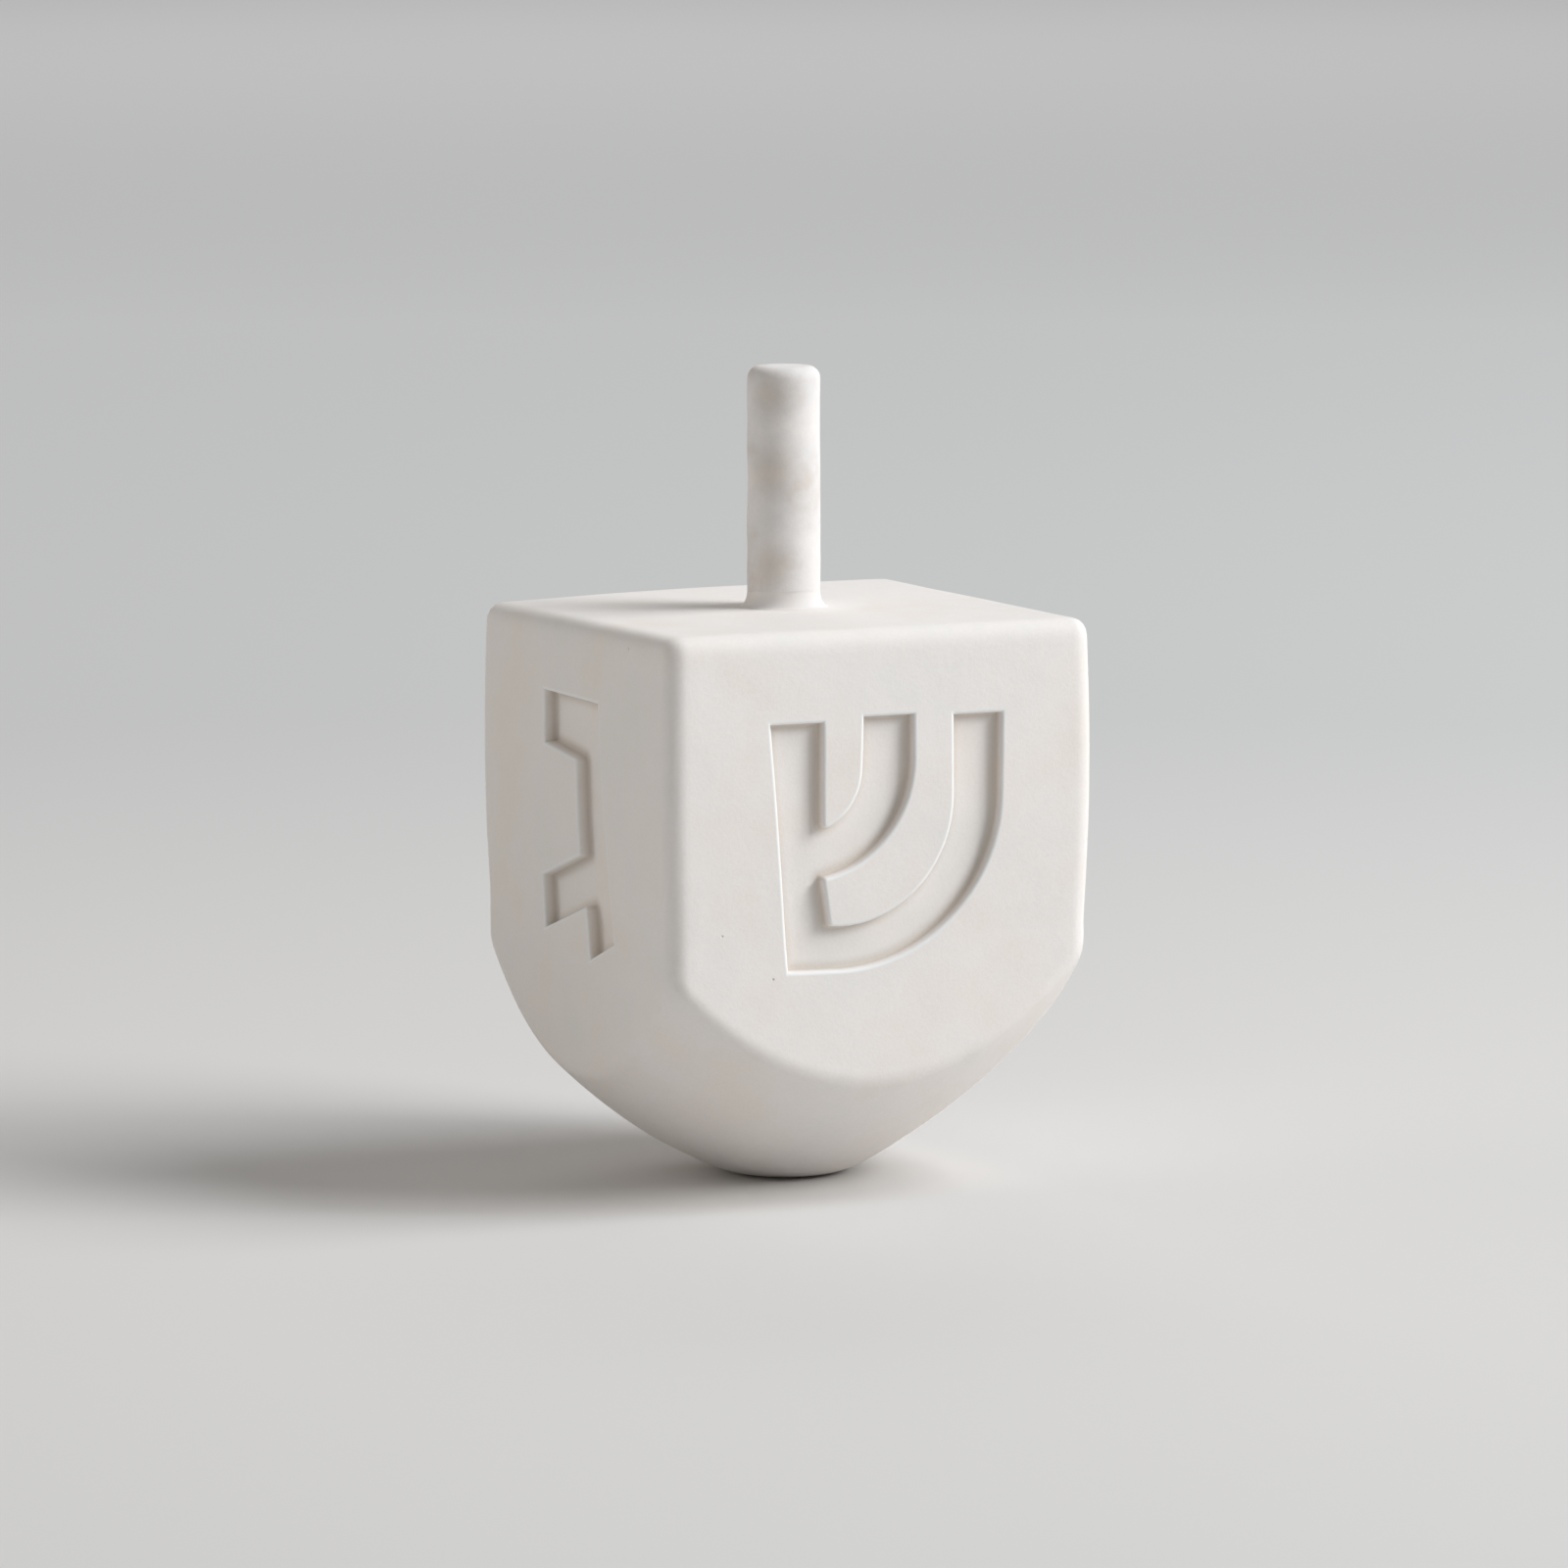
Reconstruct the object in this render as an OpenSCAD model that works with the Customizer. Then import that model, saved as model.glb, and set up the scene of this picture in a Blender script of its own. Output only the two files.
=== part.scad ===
// A four-sided spinning top for a family game, slip-cast hollow in clay and fired unglazed.
// The origin is the middle of the foot that it stands on, and +Z runs up along the stem.
// Five pieces are joined while the clay is still damp: the cast body, the finger stem with its
// tenon, the plug that closes the pouring hole in the foot, and a layer of slip round each.

/* [Body] */
// Width of the square body across its flat faces
body_w = 41; // [35:0.5:47]
// Height of the top face above the foot
body_h = 50.2; // [46:0.2:60]
// Radius of the four upright edges
side_edge_r = 1.8; // [0.6:0.1:3]
// Radius of the edges round the top face
top_edge_r = 1.3; // [0.5:0.1:2.5]
// Thickness of the cast wall
wall = 4; // [3:0.25:6]
// Thickness of the top, which carries the stem
top_wall = 5; // [4:0.25:8]
// Radius of the upright edges inside the hollow
hollow_edge_r = 3; // [1.5:0.25:6]

/* [Dome and foot] */
// Diameter of the flat foot
foot_d = 7; // [6.4:0.1:10]
// Radius that leads from the foot into the dome
foot_edge_r = 8; // [4:0.5:10]
// Slope of the dome where that radius ends, in degrees
dome_slope = 27.5; // [23:0.5:31]
// Height at which the dome would meet a sharp corner of the body
corner_h = 22.1; // [20:0.1:26]
// Thickness of the clay above the foot
foot_wall = 5; // [4:0.25:7]

/* [Marks] */
// Depth of the four sunk marks
mark_depth = 1.2; // [0.6:0.1:2.2]
// Height of the lower ends of the marks above the foot
mark_low = 20.6; // [18:0.2:23]
// Width of the widest mark
mark_w = 22.4; // [16:0.2:28]
// Height of the marks
mark_h = 22.1; // [16:0.2:23.5]

/* [Stem] */
// Diameter of the finger stem
stem_d = 6.4; // [5.6:0.1:9]
// Height of the stem above the top face
stem_h = 21.2; // [14:0.2:32]
// Radius round the upper end of the stem
stem_edge_r = 1; // [0.4:0.1:2]
// Diameter of the tenon under the stem
tenon_d = 4.6; // [3:0.1:5]

/* [Slip joints] */
// Thickness of the slip between two joined pieces
slip_t = 0.2; // [0.1:0.05:0.4]
// Width of the bead of slip round the base of the stem
bead_w = 0.7; // [0.5:0.1:2]
// Height of that bead
bead_h = 1.5; // [0.8:0.1:3]

/* [Foot plug] */
// Diameter of the plug where it shows in the foot
plug_d = 4.6; // [3.8:0.1:5.8]
// Diameter of the plug at its upper end
plug_top_d = 3.4; // [2.6:0.1:3.7]
// Diameter of the vent that lets the air out in the kiln
vent_d = 1; // [0.5:0.1:2]

/* [Hidden] */
$fn = 96;
// How far a cut runs past the surface that it opens
overrun = 1;
// Steps in the arcs of the dome, of a small edge and of a mark
dome_steps = 18;
edge_steps = 5;
mark_steps = 12;

bisque = [0.89, 0.87, 0.85];
slip_white = [0.92, 0.91, 0.89];

foot_r = foot_d / 2;
corner_r = body_w / sqrt(2);
hollow_w = body_w - 2 * wall;
hollow_top = body_h - top_wall;

// The dome is one arc. It leaves the foot's edge radius at dome_slope and ends at the corner.
dome_start = [
    foot_r + foot_edge_r * sin(dome_slope),
    foot_edge_r * (1 - cos(dome_slope))
];
dome_inward = [-sin(dome_slope), cos(dome_slope)];
dome_chord = [corner_r, corner_h] - dome_start;
dome_r = (dome_chord * dome_chord) / (2 * dome_chord * dome_inward);
dome_centre = dome_start + dome_r * dome_inward;
hollow_dome_r = dome_r - wall;

// Outlines of the four marks, as shares of their width and height about the face's centre line
gimel_shares = [
    [-0.265, 1.02], [0.24, 1.015], [0.36, 0.08], [0.14, -0.005], [0.105, 0.2],
    [-0.295, 0.07], [-0.3, 0.275], [0.065, 0.395], [0.045, 0.78], [-0.26, 0.815]
];
nun_shares = [
    [-0.28, 1], [0.18, 1], [0.25, 0], [-0.3, 0],
    [-0.3, 0.22], [0.03, 0.22], [-0.01, 0.77], [-0.27, 0.8]
];
hei_roof_shares = [
    [-0.44, 1], [0.4, 1], [0.43, 0], [0.21, 0], [0.19, 0.78], [-0.43, 0.78]
];
hei_leg_shares = [[-0.4, 0.61], [-0.2, 0.61], [-0.18, 0], [-0.38, 0]];
shin_shares = concat(
    [[-0.48, 0.98], [-0.26, 0.98]],
    arc([-0.325, 0.8], [0.235, 0.25], -74, 0, mark_steps),
    [[-0.085, 0.995], [0.125, 0.995]],
    arc([-0.32, 0.82], [0.445, 0.455], 0, -82, mark_steps),
    arc([-0.17, 0.665], [0.47, 0.49], -97, 0, mark_steps),
    [[0.3, 0.985], [0.505, 0.985]],
    arc([-0.17, 0.665], [0.67, 0.66], 0, -90, mark_steps),
    [[-0.4, 0.01]]
);

// Points on an arc about centre c, where r holds its two half axes
function arc(c, r, from, to, steps) = [
    for (i = [0 : steps])
        let (a = from + (to - from) * i / steps)
            [c[0] + r[0] * cos(a), c[1] + r[1] * sin(a)]
];

// Angle at which an arc about the dome's centre, of radius r, reaches the distance x from the axis
function dome_angle(r, x) = asin((x - dome_centre[0]) / r) - 90;

// Points of a mark on its face, with the face's centre line at zero
function on_face(shares) = [
    for (p = shares) [p[0] * mark_w, mark_low + p[1] * mark_h]
];

module rounded_square(w, r) {
    square([w, w - 2 * r], center = true);
    square([w - 2 * r, w], center = true);
    for (x = [-1, 1], y = [-1, 1])
        translate([x * (w / 2 - r), y * (w / 2 - r)])
            circle(r);
}

// Cross-section of the body with its two upper edges rounded, from below the foot to the top face
module rounded_front() {
    translate([-body_w / 2, -overrun])
        square([body_w, body_h - top_edge_r + overrun]);
    translate([-body_w / 2 + top_edge_r, -overrun])
        square([body_w - 2 * top_edge_r, body_h + overrun]);
    for (x = [-1, 1])
        translate([x * (body_w / 2 - top_edge_r), body_h - top_edge_r])
            circle(top_edge_r);
}

module rounded_through() {
    rotate([90, 0, 0])
        linear_extrude(body_w + 2 * overrun, center = true)
            rounded_front();
}

// The turned form that gives the dome, and above it is only a stock to be cut square
module turned_form() {
    rotate_extrude()
        polygon(concat(
            [[0, 0]],
            arc([foot_r, foot_edge_r], [foot_edge_r, foot_edge_r], -90, dome_slope - 90, edge_steps),
            arc(dome_centre, [dome_r, dome_r], dome_slope - 90, dome_angle(dome_r, corner_r), dome_steps),
            [[corner_r, body_h + overrun], [0, body_h + overrun]]
        ));
}

module outer_form() {
    intersection() {
        turned_form();
        linear_extrude(body_h + overrun)
            rounded_square(body_w, side_edge_r);
        rounded_through();
        rotate([0, 0, 90])
            rounded_through();
    }
}

// The hollow keeps the wall's thickness under the dome and behind the four faces
module hollow() {
    floor_r = dome_centre[0] + sqrt(pow(hollow_dome_r, 2) - pow(dome_centre[1] - foot_wall, 2));
    intersection() {
        rotate_extrude()
            polygon(concat(
                [[0, foot_wall]],
                arc(dome_centre, [hollow_dome_r, hollow_dome_r], dome_angle(hollow_dome_r, floor_r),
                    dome_angle(hollow_dome_r, hollow_w / sqrt(2)), dome_steps),
                [[hollow_w / sqrt(2), hollow_top], [0, hollow_top]]
            ));
        linear_extrude(hollow_top)
            rounded_square(hollow_w, hollow_edge_r);
    }
}

// Cuts one outline into a face, where side counts the faces from the front towards the left
module sunk_mark(side, shares) {
    rotate([0, 0, -90 * side])
        translate([0, mark_depth - body_w / 2, 0])
            rotate([90, 0, 0])
                linear_extrude(mark_depth + overrun)
                    polygon(on_face(shares));
}

// A tapered plug or the hole for it, wider by grow, from the foot up to the height h
module taper(grow, h) {
    slope = (plug_d - plug_top_d) / foot_wall;
    rotate_extrude()
        polygon([
            [0, 0],
            [plug_d / 2 + grow, 0],
            [(plug_d - slope * h) / 2 + grow, h],
            [0, h]
        ]);
}

module body() {
    color(bisque)
        difference() {
            outer_form();
            hollow();
            translate([0, 0, hollow_top - overrun])
                cylinder(d = tenon_d + 2 * slip_t, h = top_wall + 2 * overrun);
            taper(slip_t, foot_wall);
            translate([0, 0, -overrun])
                cylinder(d = plug_top_d, h = foot_wall + 2 * overrun);
            sunk_mark(0, shin_shares);
            sunk_mark(1, gimel_shares);
            sunk_mark(2, hei_roof_shares);
            sunk_mark(2, hei_leg_shares);
            sunk_mark(3, nun_shares);
        }
}

// The stem stands on its layer of slip, and its tenon reaches the hollow
module stem() {
    stem_top = body_h + stem_h;
    color(bisque)
        rotate_extrude()
            polygon(concat(
                [
                    [0, hollow_top],
                    [tenon_d / 2, hollow_top],
                    [tenon_d / 2, body_h + slip_t],
                    [stem_d / 2, body_h + slip_t]
                ],
                arc([stem_d / 2 - stem_edge_r, stem_top - stem_edge_r], [stem_edge_r, stem_edge_r],
                    0, 90, edge_steps),
                [[0, stem_top]]
            ));
}

// Slip round the tenon and under the stem, pressed out into a hollow-faced bead
module stem_slip() {
    color(slip_white)
        rotate_extrude()
            polygon(concat(
                [
                    [tenon_d / 2, hollow_top],
                    [tenon_d / 2 + slip_t, hollow_top],
                    [tenon_d / 2 + slip_t, body_h],
                    [stem_d / 2 + bead_w, body_h]
                ],
                arc([stem_d / 2 + bead_w, body_h + bead_h], [bead_w, bead_h - slip_t / 2],
                    -90, -180, edge_steps),
                [
                    [stem_d / 2, body_h + slip_t],
                    [tenon_d / 2, body_h + slip_t]
                ]
            ));
}

module foot_plug() {
    color(bisque)
        difference() {
            taper(0, foot_wall);
            translate([0, 0, -overrun])
                cylinder(d = vent_d, h = foot_wall + 2 * overrun);
        }
}

// The layer of slip round the plug, wiped flush with the foot
module plug_slip() {
    color(slip_white)
        difference() {
            taper(slip_t, foot_wall);
            taper(0, foot_wall);
        }
}

body();
stem();
stem_slip();
foot_plug();
plug_slip();
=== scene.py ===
import math

import bpy
import numpy as np
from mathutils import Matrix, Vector, noise
from mathutils.geometry import delaunay_2d_cdt


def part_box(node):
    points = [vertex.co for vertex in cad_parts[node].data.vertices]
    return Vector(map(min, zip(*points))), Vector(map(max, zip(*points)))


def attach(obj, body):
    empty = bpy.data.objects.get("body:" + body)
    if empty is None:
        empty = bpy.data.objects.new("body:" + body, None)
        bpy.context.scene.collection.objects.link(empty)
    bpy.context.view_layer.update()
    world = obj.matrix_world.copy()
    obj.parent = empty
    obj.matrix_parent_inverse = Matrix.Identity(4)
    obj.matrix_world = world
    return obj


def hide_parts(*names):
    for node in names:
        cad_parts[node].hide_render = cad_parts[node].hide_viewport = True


bl_info = {
    "name": "Bisque Dreidel",
    "version": (1, 0, 0),
    "blender": (4, 5, 0),
    "location": "View3D > Sidebar > Dreidel",
    "description": "Dresses the packed dreidel in unglazed bisque and sets a pale studio round it",
    "category": "Object",
}

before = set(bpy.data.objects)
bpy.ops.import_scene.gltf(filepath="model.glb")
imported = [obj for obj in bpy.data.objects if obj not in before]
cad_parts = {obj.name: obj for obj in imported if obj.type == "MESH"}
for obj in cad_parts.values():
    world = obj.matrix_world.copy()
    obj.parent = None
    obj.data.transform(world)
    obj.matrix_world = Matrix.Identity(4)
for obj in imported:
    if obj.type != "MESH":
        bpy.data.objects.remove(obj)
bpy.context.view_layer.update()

# All shapes below are worked out in millimetres and turned to metres when a mesh is made.
MM = 0.001


def millimetres(corner):
    """A corner of a node's box, in millimetres."""
    return [value / MM for value in corner]


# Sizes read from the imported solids. The tenon reaches down to the top of the hollow.
STEM_LOW, STEM_HIGH = (millimetres(corner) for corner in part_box("stem"))
HALF_W, _, BODY_H = millimetres(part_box("body")[1])
HOLLOW_TOP = STEM_LOW[2]
STEM_R, _, STEM_TOP = STEM_HIGH
BEAD_R, _, BEAD_TOP = millimetres(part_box("stem_slip")[1])
FOOT_WALL = millimetres(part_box("foot_plug")[1])[2]
PLUG_HOLE_R = millimetres(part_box("plug_slip")[1])[0]

# Sizes of the solids that their boxes don't give
FOOT_R = 3.5
FOOT_EDGE_R = 8
DOME_SLOPE = math.radians(27.5)
CORNER_H = 22.1
WALL = 4
HOLLOW_EDGE_R = 3
TENON_R = 2.3
SLIP_T = 0.2
PLUG_TAPER = 0.6
MARK_LOW = 20.6
MARK_W = 22.4
MARK_H = 22.1

# Sizes that only the visible meshes have
STEM_EDGE_R = 1.1
# Thickness of the slip bead's thin outer edge
BEAD_RIM = 0.02
# Radius of the clay's upright corners between a mark's strokes, and the bend below which a corner is left
ISLAND_R = 0.38
SLIGHT_BEND = math.radians(25)
# Height up to which the clay round the foot is soiled by spinning and painted darker as contact shade, and
# how much at its lowest
SOILED_AND_SHADED_H = 0.8
SOILED_AND_SHADED_SHARE = 0.7
# Height at which the cast block is widest. At this reach above and below it the faces have fallen back by
# the barrel, and at BARREL_LIMIT times that reach they stop falling back.
WIDEST_AT = 38
WIDEST_REACH = 11
BARREL_LIMIT = 1.3
# The side to which the dome was turned off centre and the top sags, and how far away its corner is
DOME_SIDE = (-0.905, 0.426)
SAG_REACH = 29
# Where the sag begins, as a share of that way, and how steeply it grows
SAG_START_SHARE = 0.15
SAG_POWER = 1.5
# Height at which the dome's axis starts to run off centre, and over how much height it gets there
SHIFT_FROM = 0.6
SHIFT_OVER = 3
# Share, size and seed of the two noises that make the skin uneven, and how far past the bead's radius they
# reach their full strength
SWELLS = ((0.7, 9, 1), (0.3, 4, 2))
JOINT_FADE = 2
# Size of the bumps on the rolled stem, and the radius inside which they fade out
WOBBLE_SIZE = 3.5
WOBBLE_FADE_R = 1
# How far apart the noises of two seeds are taken
SEED_STEP = (17.3, 5.1, 9.7)
# How far over a mark's floor the painted shade of its corner reaches, and how closely it keeps to the
# corner
PAINTED_SHADE_REACH = 1.05
PAINTED_SHADE_POWER = 1.7
# Smudges on the stem's shaded side, which also paint shade into its core shadow: where each one is and how
# wide
STEM_SMUDGES_AND_SHADE = ((-2.24, -2.29, 69, 3.2), (-2.24, -2.29, 62.3, 3.6), (-2.24, -2.29, 54, 2.9))

# The clay's patterns: how wide its grains and dips are, how far apart its pinholes, and how high or deep
GRAIN_SIZE = 0.3
GRAIN_HEIGHT = 0.014
DIP_SIZE = 3
DIP_HEIGHT = 0.05
PINHOLE_SPACING = 5
PINHOLE_DEPTH = 0.12
# Radii of the narrowest and the widest pinhole
PINHOLE_LEAST_R = 0.01
PINHOLE_MOST_R = 0.2
# How much lighter or darker a single grain is
SPECKLE = 0.02

# How finely the meshes are cut, in steps or in millimetres
SIDE_STEP = 1
CORNER_STEPS = 8
TOP_ROWS = 14
WALL_ROWS = 24
DOME_ROWS = 24
FOOT_EDGE_ROWS = 6
HOLLOW_ROWS = 8
ISLAND_STEPS = 5
RIM_STEPS = 4
FILLET_STEPS = 6
TURN_STEPS = 96
SHAFT_ROWS = 29
BEAD_STEPS = 10
# Distances of the rows on both sides of an edge of the body from that edge
BAND = [0, 0.2, 0.4, 0.65, 0.9, 1.2, 1.6, 2.1, 2.7]
# A mark's profile: flat margin outside the rim, points of the rim that take a painted highlight, rings on
# the floor
RIM_MARGIN = 0.05
RIM_HIGHLIGHT_POINTS = slice(1, 4)
FLOOR_RINGS = (0.15, 0.4, 0.7, 1)
# Distances of the rings on the stem's flat end from that end's edge
CROWN_RINGS = (1, 2)
# How far inner points of a panel stay away from a mark's outline, and how far that outline's edges bow
SPOT_MARGIN = 0.45
BOW = 0.001
# The outer ring of the foot, as a share of its radius
FOOT_RING_SHARE = 0.85
# Two lengths closer than this are the same
TINY = 0.001
# Points of a panel closer than this become one
MERGE_DISTANCE = 1e-6
# Least steepness that a step onto the skin reckons with
LEAST_STEEP = 0.05
# How often a distance is halved to find the wall of the hollow
HALVINGS = 40


def linear(hex_colour):
    """An sRGB colour, written as 0xRRGGBB, as the linear values that Blender works in."""
    parts = [(hex_colour >> shift & 255) / 255 for shift in (16, 8, 0)]
    return tuple(c / 12.92 if c <= 0.04045 else ((c + 0.055) / 1.055) ** 2.4 for c in parts)


def arc(centre, radii, start, end, steps):
    """Points on an arc between two angles in degrees, both ends included."""
    angles = np.radians(np.linspace(start, end, steps + 1))
    return [(centre[0] + radii[0] * math.cos(a), centre[1] + radii[1] * math.sin(a)) for a in angles]


# Outlines of the four marks, as shares of their width and height about the face's centre line
GIMEL = [
    (-0.265, 1.02), (0.24, 1.015), (0.36, 0.08), (0.14, -0.005), (0.105, 0.2),
    (-0.295, 0.07), (-0.3, 0.275), (0.065, 0.395), (0.045, 0.78), (-0.26, 0.815),
]
NUN = [
    (-0.28, 1), (0.18, 1), (0.25, 0), (-0.3, 0), (-0.3, 0.22), (0.03, 0.22), (-0.01, 0.77), (-0.27, 0.8),
]
HEI_ROOF = [(-0.44, 1), (0.4, 1), (0.43, 0), (0.21, 0), (0.19, 0.78), (-0.43, 0.78)]
HEI_LEG = [(-0.4, 0.61), (-0.2, 0.61), (-0.18, 0), (-0.38, 0)]
SHIN = (
    [(-0.48, 0.98), (-0.26, 0.98)]
    + arc((-0.325, 0.8), (0.235, 0.25), -74, 0, 9)
    + [(-0.085, 0.995), (0.125, 0.995)]
    + arc((-0.32, 0.82), (0.445, 0.455), 0, -82, 18)
    + arc((-0.17, 0.665), (0.47, 0.49), -97, 0, 18)
    + [(0.3, 0.985), (0.505, 0.985)]
    + arc((-0.17, 0.665), (0.67, 0.66), 0, -90, 20)
    + [(-0.4, 0.01)]
)
# The marks by side, from the front and on towards the right as seen from outside
MARKS = [[SHIN], [NUN], [HEI_ROOF, HEI_LEG], [GIMEL]]


class DreidelShape(bpy.types.PropertyGroup):
    """Sizes of the softened edges, which the solids leave sharper."""

    side_edge: bpy.props.FloatProperty(
        name="Upright edges", description="Radius of the four upright edges, in millimetres", default=1.8
    )
    top_edge: bpy.props.FloatProperty(
        name="Top edges", description="Width of the blend round the top face, in millimetres", default=1.9
    )
    dome_edge: bpy.props.FloatProperty(
        name="Dome edges",
        description="Width of the blend between faces and dome, in millimetres",
        default=0.7,
    )
    barrel: bpy.props.FloatProperty(
        name="Barrel",
        description="How far each face falls back above and below its middle, in millimetres",
        default=0.2,
    )
    top_sag: bpy.props.FloatProperty(
        name="Top sag",
        description="How far the top falls away at the corner over gimel, in millimetres",
        default=0.8,
    )
    dome_shift: bpy.props.FloatProperty(
        name="Dome shift", description="How far off centre the dome was turned, in millimetres", default=0.5
    )
    mark_depth: bpy.props.FloatProperty(
        name="Mark depth", description="Depth of the sunk marks, in millimetres", default=1.2
    )
    mark_rim: bpy.props.FloatProperty(
        name="Mark rim", description="Radius of the marks' upper edges, in millimetres", default=0.3
    )
    mark_draft: bpy.props.FloatProperty(
        name="Mark draft",
        description="How far the marks' walls lean",
        default=math.radians(6),
        subtype="ANGLE",
    )
    mark_fillet: bpy.props.FloatProperty(
        name="Mark fillet", description="Radius at the marks' floors, in millimetres", default=0.3
    )
    unevenness: bpy.props.FloatProperty(
        name="Unevenness", description="How far the sponged surface wanders, in millimetres", default=0.06
    )


class DreidelFinish(bpy.types.PropertyGroup):
    """Colours of the fired clay."""

    clay: bpy.props.FloatVectorProperty(
        name="Clay",
        description="Main colour of the bisque",
        subtype="COLOR",
        default=linear(0xF1ECE8),
    )
    clay_warm: bpy.props.FloatVectorProperty(
        name="Warm clouds",
        description="Colour of the warmer clouds",
        subtype="COLOR",
        default=linear(0xF0E9E2),
    )
    clay_cool: bpy.props.FloatVectorProperty(
        name="Cool clouds",
        description="Colour of the cooler clouds",
        subtype="COLOR",
        default=linear(0xEDEAE6),
    )
    clay_handled: bpy.props.FloatVectorProperty(
        name="Handled clay",
        description="Colour of the warmer clouds on the stem",
        subtype="COLOR",
        default=linear(0xDCD3CB),
    )
    stem_clay: bpy.props.FloatVectorProperty(
        name="Stem clay",
        description="Main colour of the stem and its slip",
        subtype="COLOR",
        default=linear(0xE7E4E2),
    )
    # Painted shade inside the pinholes
    pinhole_shade: bpy.props.FloatVectorProperty(
        name="Pinholes",
        description="Colour inside a pinhole",
        subtype="COLOR",
        default=linear(0x9C9389),
    )
    # Painted highlight along the marks' rims
    rim_highlight: bpy.props.FloatVectorProperty(
        name="Rubbed rims",
        description="Colour of the marks' rims",
        subtype="COLOR",
        default=linear(0xF3F3F2),
    )
    # Painted shade for the marks' corners, also used round the foot as soiling and painted contact shade
    painted_shade: bpy.props.FloatVectorProperty(
        name="Unsponged clay",
        description="Tint of the clay in the marks' corners and round the foot",
        subtype="COLOR",
        default=linear(0xE2DDD6),
    )
    # Tint of the stem's smudges, which also paint shade into its core shadow
    smudged_and_shaded: bpy.props.FloatVectorProperty(
        name="Smudged clay",
        description="Tint of the clay under a finger smudge",
        subtype="COLOR",
        default=linear(0xF1ECE6),
    )


class DreidelStudio(bpy.types.PropertyGroup):
    """Colours of the floor, whose far part stands as the backdrop, and the strength of the lights."""

    floor: bpy.props.FloatVectorProperty(
        name="Floor",
        description="Colour of the floor by the dreidel",
        subtype="COLOR",
        default=linear(0xDCDAD8),
    )
    # Painted shade: the floor darkens beyond the dreidel as the light falls off
    floor_painted_shade: bpy.props.FloatVectorProperty(
        name="Dimmer floor",
        description="Colour of the floor behind the dreidel",
        subtype="COLOR",
        default=linear(0xD2D2D1),
    )
    # Painted light: the far floor is lighter again
    floor_far_painted_light: bpy.props.FloatVectorProperty(
        name="Far floor",
        description="Colour of the floor far away",
        subtype="COLOR",
        default=linear(0xE8E8E8),
    )
    key_low: bpy.props.FloatProperty(
        name="Lower key", description="Power of the lower key lamp", default=11.7, unit="POWER"
    )
    key_high: bpy.props.FloatProperty(
        name="Upper key", description="Power of the upper key lamp", default=9.15, unit="POWER"
    )
    bounce: bpy.props.FloatProperty(
        name="Bounce", description="Power of the wide lamp behind on the left", default=5.95, unit="POWER"
    )
    far: bpy.props.FloatProperty(
        name="Far lamp", description="Power of the lamp over the far floor", default=12.0, unit="POWER"
    )
    air: bpy.props.FloatProperty(name="Air", description="Strength of the light all round", default=0.23)


def mesh_object(name, points, faces, sharp_above=math.radians(50)):
    """A smooth-shaded mesh in metres from points in millimetres, with its true corners kept sharp."""
    mesh = bpy.data.meshes.new(name)
    mesh.from_pydata((np.asarray(points, float) * MM).tolist(), [], faces)
    mesh.validate()
    mesh.shade_smooth()
    mesh.set_sharp_from_angle(angle=sharp_above)
    obj = bpy.data.objects.new(name, mesh)
    bpy.context.scene.collection.objects.link(obj)
    return obj


def ring_faces(rows, columns, closed_rows=False):
    """Quads over rows of points that each close on themselves."""
    last = rows if closed_rows else rows - 1
    faces = []
    for i in range(last):
        for j in range(columns):
            k = (j + 1) % columns
            a, b = i * columns, (i + 1) % rows * columns
            faces.append((a + j, b + j, b + k, a + k))
    return faces


def wander(points, size, seed):
    """Smooth noise between about -1 and 1 at each point, with bumps of the given size in millimetres."""
    shift = Vector([seed * step for step in SEED_STEP])
    return np.array([noise.noise(Vector(p) / size + shift) for p in points])


def turned(name, outline, wobble=0, seed=0):
    """A piece turned about the Z axis from an outline of (radius, height), closed where it meets the axis.
    wobble is how far its surface goes in and out, as that of rolled clay does."""
    points = []
    turn = np.linspace(0, 2 * math.pi, TURN_STEPS, endpoint=False)
    rows = [p for p in outline if p[0] > 0]
    for r, z in rows:
        points += [(r * math.cos(a), r * math.sin(a), z) for a in turn]
    on_axis = [p for p in outline if p[0] == 0]
    faces = ring_faces(len(rows), TURN_STEPS, closed_rows=not on_axis)
    for end, (_, z) in zip((0, len(rows) - 1), on_axis):
        points.append((0, 0, z))
        centre, first = len(points) - 1, end * TURN_STEPS
        for j in range(TURN_STEPS):
            k = (j + 1) % TURN_STEPS
            pair = (first + k, first + j) if end else (first + j, first + k)
            faces.append((centre, *pair))
    points = np.array(points)
    if wobble:
        around = np.hypot(points[:, 0], points[:, 1])
        push = 1 + wobble * wander(points, WOBBLE_SIZE, seed) / np.maximum(around, WOBBLE_FADE_R)
        points[:, :2] *= push[:, None]
    return mesh_object(name, points, faces)


# The body's outer skin. A gap is how far a point lies outside a surface, and below zero inside it.
def smooth_max(a, b, width):
    """The larger of two gaps, rounded off where they are within width of each other."""
    near = np.maximum(width - np.abs(a - b), 0) / width
    return np.maximum(a, b) + near * near * width / 4


def square_gap(x, y, half, corner):
    """Gap to a square in plan with rounded corners."""
    qx, qy = np.abs(x) - (half - corner), np.abs(y) - (half - corner)
    outside = np.hypot(np.maximum(qx, 0), np.maximum(qy, 0))
    return outside + np.minimum(np.maximum(qx, qy), 0) - corner


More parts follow.
